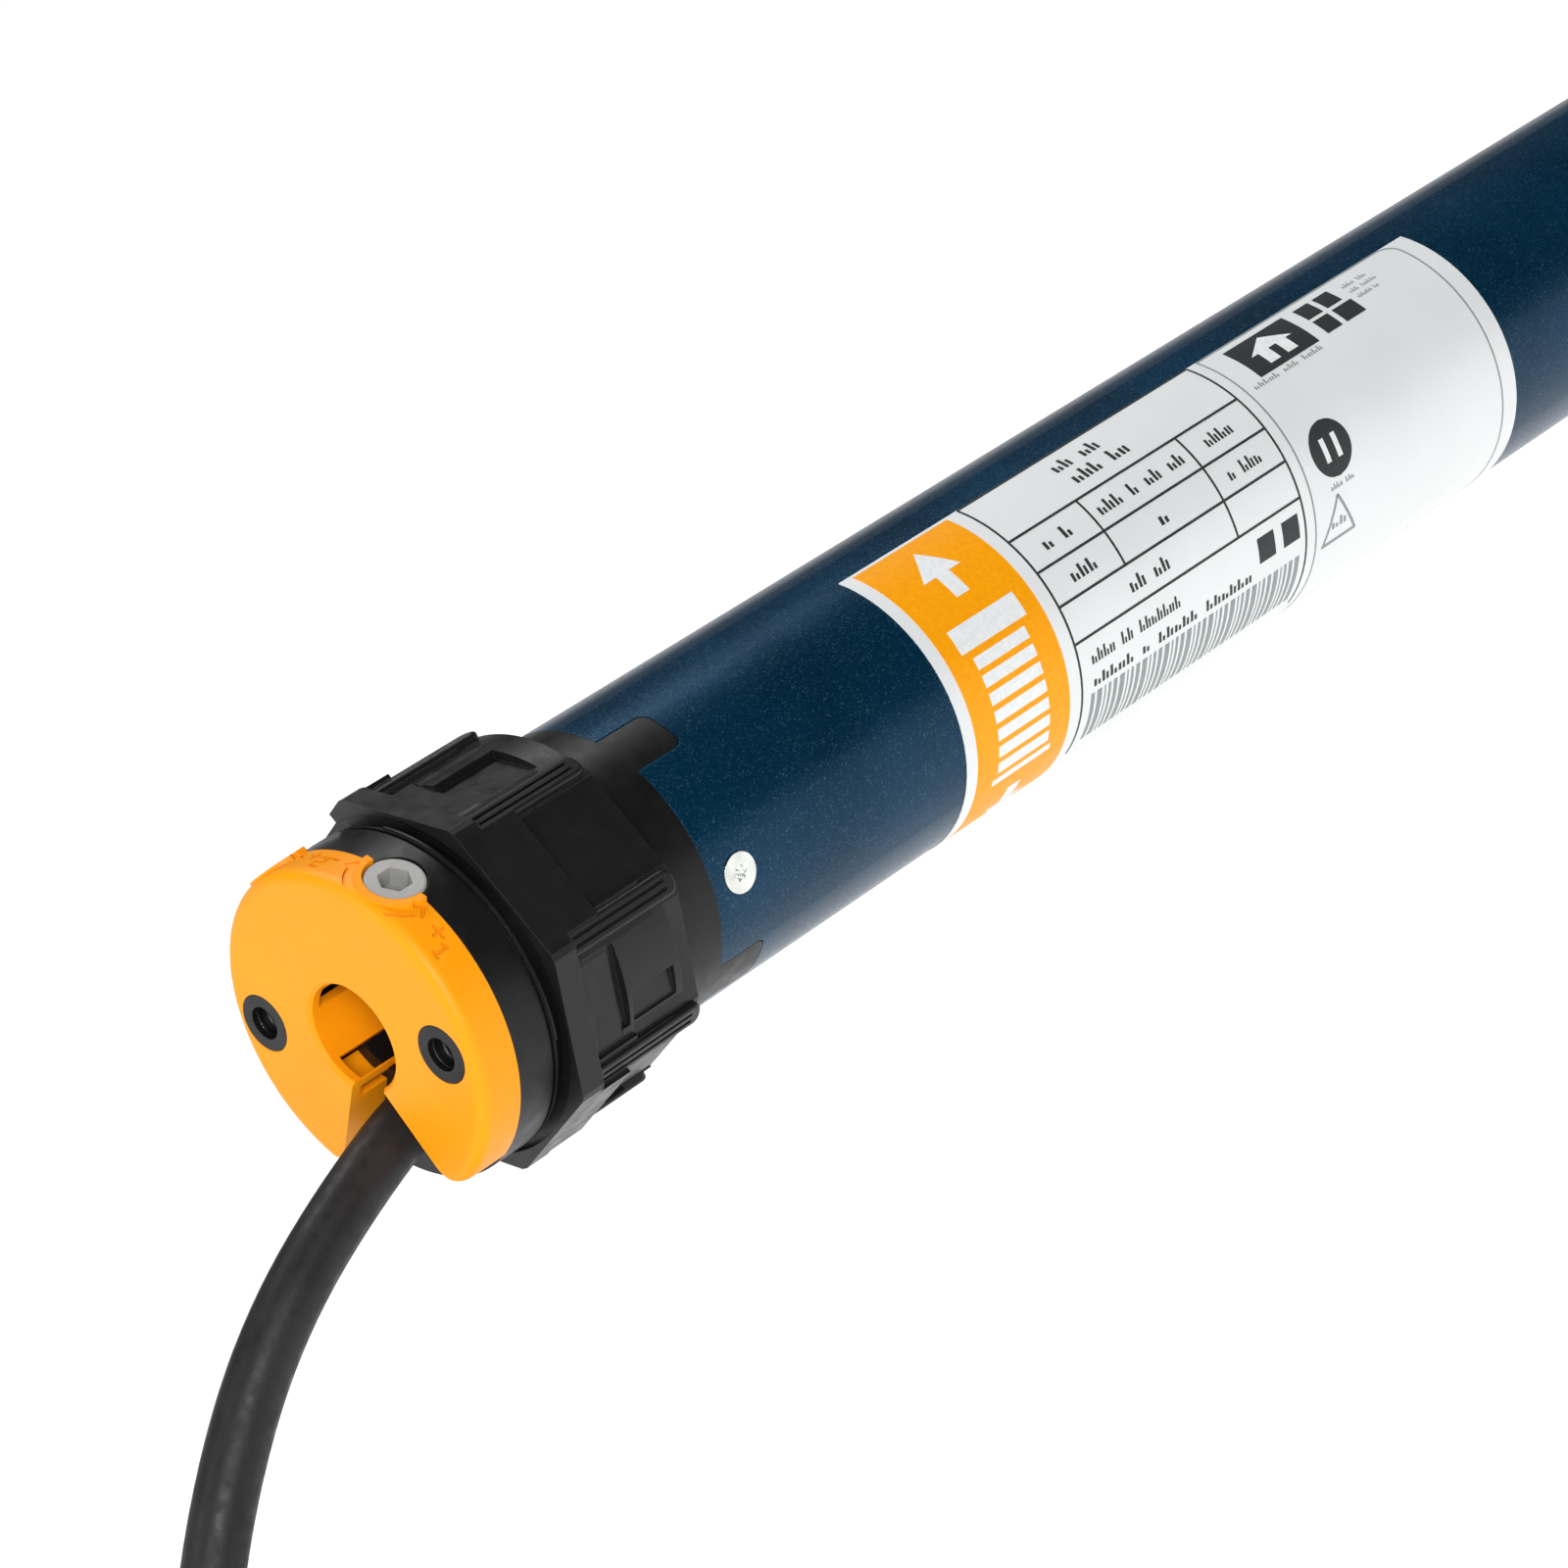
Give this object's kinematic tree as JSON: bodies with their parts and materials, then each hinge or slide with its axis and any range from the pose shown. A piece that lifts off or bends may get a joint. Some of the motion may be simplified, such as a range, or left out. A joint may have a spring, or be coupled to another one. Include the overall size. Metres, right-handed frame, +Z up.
{
  "type": "roller shutter motor",
  "caption": "Tubular motor for a roller shutter, with a slotted round head, a ribbed crown, a long tube, a drive wheel and a rubber lead.",
  "frame": {"origin": "centre of the head's front face, midway between the bracket screw holes", "axes": "+X along the motor from the head to the drive end, +Z up with the cable slot pointing down, screw holes along Y"},
  "size_m": [0.5218, 0.0462, 0.2166],
  "materials": {
    "orange_plastic": "fine satin moulded",
    "black_plastic": "fine grained moulded",
    "insert_steel": "zinc plated",
    "screw_steel": "zinc plated",
    "blue_paint": "gloss metallic",
    "label_film": "satin film",
    "seal_rubber": "matte",
    "plug_plastic": "matte",
    "chassis_plastic": "natural moulded",
    "board_green": "lacquered",
    "capacitor_can": "drawn",
    "shield_zinc": "cast",
    "bearing_steel": "ground",
    "lamination": "stacked sheet",
    "copper_wire": "enamelled",
    "brake_case": "phosphated",
    "spring_steel": "drawn",
    "gearbox_steel": "sintered",
    "bush_bronze": "sintered",
    "cap_zinc": "cast",
    "cable_rubber": "matte",
    "core_pvc": "smooth",
    "tie_nylon": "smooth",
    "switch_plastic": "smooth",
    "crown_plastic": "grained moulded",
    "screw_white": "smooth moulded",
    "gear_white": "acetal",
    "cam_up": "acetal",
    "cam_down": "acetal",
    "shaft_steel": "ground",
    "brake_lining": "pressed lining",
    "carrier_steel": "sintered",
    "wheel_plastic": "grained moulded",
    "clip_steel": "black oxide",
    "planet_plastic": "natural polyamide",
    "planet_steel": "sintered"
  },
  "bodies": {
    "motor_case": {"head_cover": "orange_plastic", "head_body": "black_plastic", "bracket_inserts": "insert_steel", "tube_screws": "screw_steel", "motor_tube": "blue_paint", "rating_label": "label_film", "tube_seal": "seal_rubber", "cable_plug": "plug_plastic", "limit_chassis": "chassis_plastic", "terminal_board": "board_green", "run_capacitor": "capacitor_can", "front_shield": "shield_zinc", "rear_shield": "shield_zinc", "bearing_outer_rings": "bearing_steel", "stator_core": "lamination", "stator_windings": "copper_wire", "brake_housing": "brake_case", "brake_spring": "spring_steel", "gearbox_housing": "gearbox_steel", "output_bush": "bush_bronze", "end_cap": "cap_zinc", "cable_lead": "cable_rubber", "cable_coil": "cable_rubber", "cable_tail": "cable_rubber", "cable_cores": "core_pvc", "cable_tie": "tie_nylon", "switch_block_up": "gear_white", "microswitch_up": "switch_plastic", "switch_block_down": "gear_white", "microswitch_down": "switch_plastic"},
    "crown": {"crown_ring": "crown_plastic"},
    "limit_screw_up": {"limit_screw_up": "screw_white"},
    "adjusting_shaft_up": {"adjusting_shaft_up": "gear_white"},
    "limit_screw_down": {"limit_screw_down": "screw_white"},
    "adjusting_shaft_down": {"adjusting_shaft_down": "gear_white"},
    "counter_shaft": {"counter_pinion": "gear_white"},
    "counter_drum": {"counter_wheel": "gear_white", "cam_up": "cam_up", "cam_down": "cam_down"},
    "rotor": {"rotor_core": "lamination", "rotor_shaft": "shaft_steel", "bearing_inner_rings": "bearing_steel", "bearing_balls": "bearing_steel", "brake_disc": "brake_lining"},
    "brake_armature": {"brake_armature": "shield_zinc"},
    "carrier_1": {"carrier_1": "carrier_steel"},
    "carrier_2": {"carrier_2": "carrier_steel"},
    "output": {"output_carrier": "shaft_steel", "drive_wheel": "wheel_plastic", "drive_circlip": "clip_steel"},
    "planet_1a": {"planet_1a": "planet_plastic"},
    "planet_1b": {"planet_1b": "planet_plastic"},
    "planet_1c": {"planet_1c": "planet_plastic"},
    "planet_2a": {"planet_2a": "planet_steel"},
    "planet_2b": {"planet_2b": "planet_steel"},
    "planet_2c": {"planet_2c": "planet_steel"},
    "planet_3a": {"planet_3a": "planet_steel"},
    "planet_3b": {"planet_3b": "planet_steel"},
    "planet_3c": {"planet_3c": "planet_steel"}
  },
  "joints": [
    {"name": "crown_spin", "type": "hinge", "parent": "motor_case", "child": "crown", "pos_m": [0.022, 0, 0], "axis": [1, 0, 0], "continuous": true},
    {"name": "motor_spin", "type": "hinge", "parent": "motor_case", "child": "rotor", "pos_m": [0.22, 0, 0], "axis": [1, 0, 0], "continuous": true},
    {"name": "brake_release", "type": "slide", "parent": "motor_case", "child": "brake_armature", "axis": [1, 0, 0], "range_m": [0, 0.0005]},
    {"name": "limit_up_turn", "type": "hinge", "parent": "motor_case", "child": "limit_screw_up", "pos_m": [0.0056, -0.00693, 0.01331], "axis": [0, -0.4617, 0.887], "range_deg": [-4320, 4320]},
    {"name": "adjusting_shaft_up_turn", "type": "hinge", "parent": "motor_case", "child": "adjusting_shaft_up", "pos_m": [0.03, -0.00951, 0.00745], "axis": [1, 0, 0], "range_deg": [-361, 361]},
    {"name": "limit_down_turn", "type": "hinge", "parent": "motor_case", "child": "limit_screw_down", "pos_m": [0.0056, 0.00693, 0.01331], "axis": [0, 0.4617, 0.887], "range_deg": [-4320, 4320]},
    {"name": "adjusting_shaft_down_turn", "type": "hinge", "parent": "motor_case", "child": "adjusting_shaft_down", "pos_m": [0.03, 0.00951, 0.00745], "axis": [1, 0, 0], "range_deg": [-361, 361]},
    {"name": "counter_shaft_spin", "type": "hinge", "parent": "motor_case", "child": "counter_shaft", "pos_m": [0.027, 0.01239, -0.00393], "axis": [1, 0, 0], "continuous": true},
    {"name": "counter_drum_spin", "type": "hinge", "parent": "motor_case", "child": "counter_drum", "pos_m": [0.044, 0.00093, -0.00393], "axis": [0, 0, 1], "continuous": true},
    {"name": "carrier_1_spin", "type": "hinge", "parent": "motor_case", "child": "carrier_1", "pos_m": [0.326, 0, 0], "axis": [1, 0, 0], "continuous": true},
    {"name": "planet_1a_spin", "type": "hinge", "parent": "carrier_1", "child": "planet_1a", "pos_m": [0.326, 0, 0.00877], "axis": [1, 0, 0], "continuous": true},
    {"name": "planet_1b_spin", "type": "hinge", "parent": "carrier_1", "child": "planet_1b", "pos_m": [0.326, -0.0076, -0.00439], "axis": [1, 0, 0], "continuous": true},
    {"name": "planet_1c_spin", "type": "hinge", "parent": "carrier_1", "child": "planet_1c", "pos_m": [0.326, 0.0076, -0.00439], "axis": [1, 0, 0], "continuous": true},
    {"name": "carrier_2_spin", "type": "hinge", "parent": "motor_case", "child": "carrier_2", "pos_m": [0.342, 0, 0], "axis": [1, 0, 0], "continuous": true},
    {"name": "planet_2a_spin", "type": "hinge", "parent": "carrier_2", "child": "planet_2a", "pos_m": [0.342, 0, 0.00877], "axis": [1, 0, 0], "continuous": true},
    {"name": "planet_2b_spin", "type": "hinge", "parent": "carrier_2", "child": "planet_2b", "pos_m": [0.342, -0.0076, -0.00439], "axis": [1, 0, 0], "continuous": true},
    {"name": "planet_2c_spin", "type": "hinge", "parent": "carrier_2", "child": "planet_2c", "pos_m": [0.342, 0.0076, -0.00439], "axis": [1, 0, 0], "continuous": true},
    {"name": "drive_spin", "type": "hinge", "parent": "motor_case", "child": "output", "pos_m": [0.362, 0, 0], "axis": [1, 0, 0], "continuous": true},
    {"name": "planet_3a_spin", "type": "hinge", "parent": "output", "child": "planet_3a", "pos_m": [0.362, 0, 0.00877], "axis": [1, 0, 0], "continuous": true},
    {"name": "planet_3b_spin", "type": "hinge", "parent": "output", "child": "planet_3b", "pos_m": [0.362, -0.0076, -0.00439], "axis": [1, 0, 0], "continuous": true},
    {"name": "planet_3c_spin", "type": "hinge", "parent": "output", "child": "planet_3c", "pos_m": [0.362, 0.0076, -0.00439], "axis": [1, 0, 0], "continuous": true}
  ],
  "couplings": [
    {"joint": "adjusting_shaft_up_turn", "follows": "limit_up_turn", "ratio": 0.083333},
    {"joint": "adjusting_shaft_down_turn", "follows": "limit_down_turn", "ratio": 0.083333},
    {"joint": "counter_shaft_spin", "follows": "crown_spin", "ratio": 3},
    {"joint": "counter_drum_spin", "follows": "crown_spin", "ratio": 0.1},
    {"joint": "carrier_1_spin", "follows": "motor_spin", "ratio": 0.16667},
    {"joint": "planet_1a_spin", "follows": "motor_spin", "ratio": -0.41667},
    {"joint": "planet_1b_spin", "follows": "motor_spin", "ratio": -0.41667},
    {"joint": "planet_1c_spin", "follows": "motor_spin", "ratio": -0.41667},
    {"joint": "carrier_2_spin", "follows": "motor_spin", "ratio": 0.027778},
    {"joint": "planet_2a_spin", "follows": "motor_spin", "ratio": -0.069444},
    {"joint": "planet_2b_spin", "follows": "motor_spin", "ratio": -0.069444},
    {"joint": "planet_2c_spin", "follows": "motor_spin", "ratio": -0.069444},
    {"joint": "drive_spin", "follows": "motor_spin", "ratio": 0.0046296},
    {"joint": "planet_3a_spin", "follows": "motor_spin", "ratio": -0.011574},
    {"joint": "planet_3b_spin", "follows": "motor_spin", "ratio": -0.011574},
    {"joint": "planet_3c_spin", "follows": "motor_spin", "ratio": -0.011574}
  ]
}
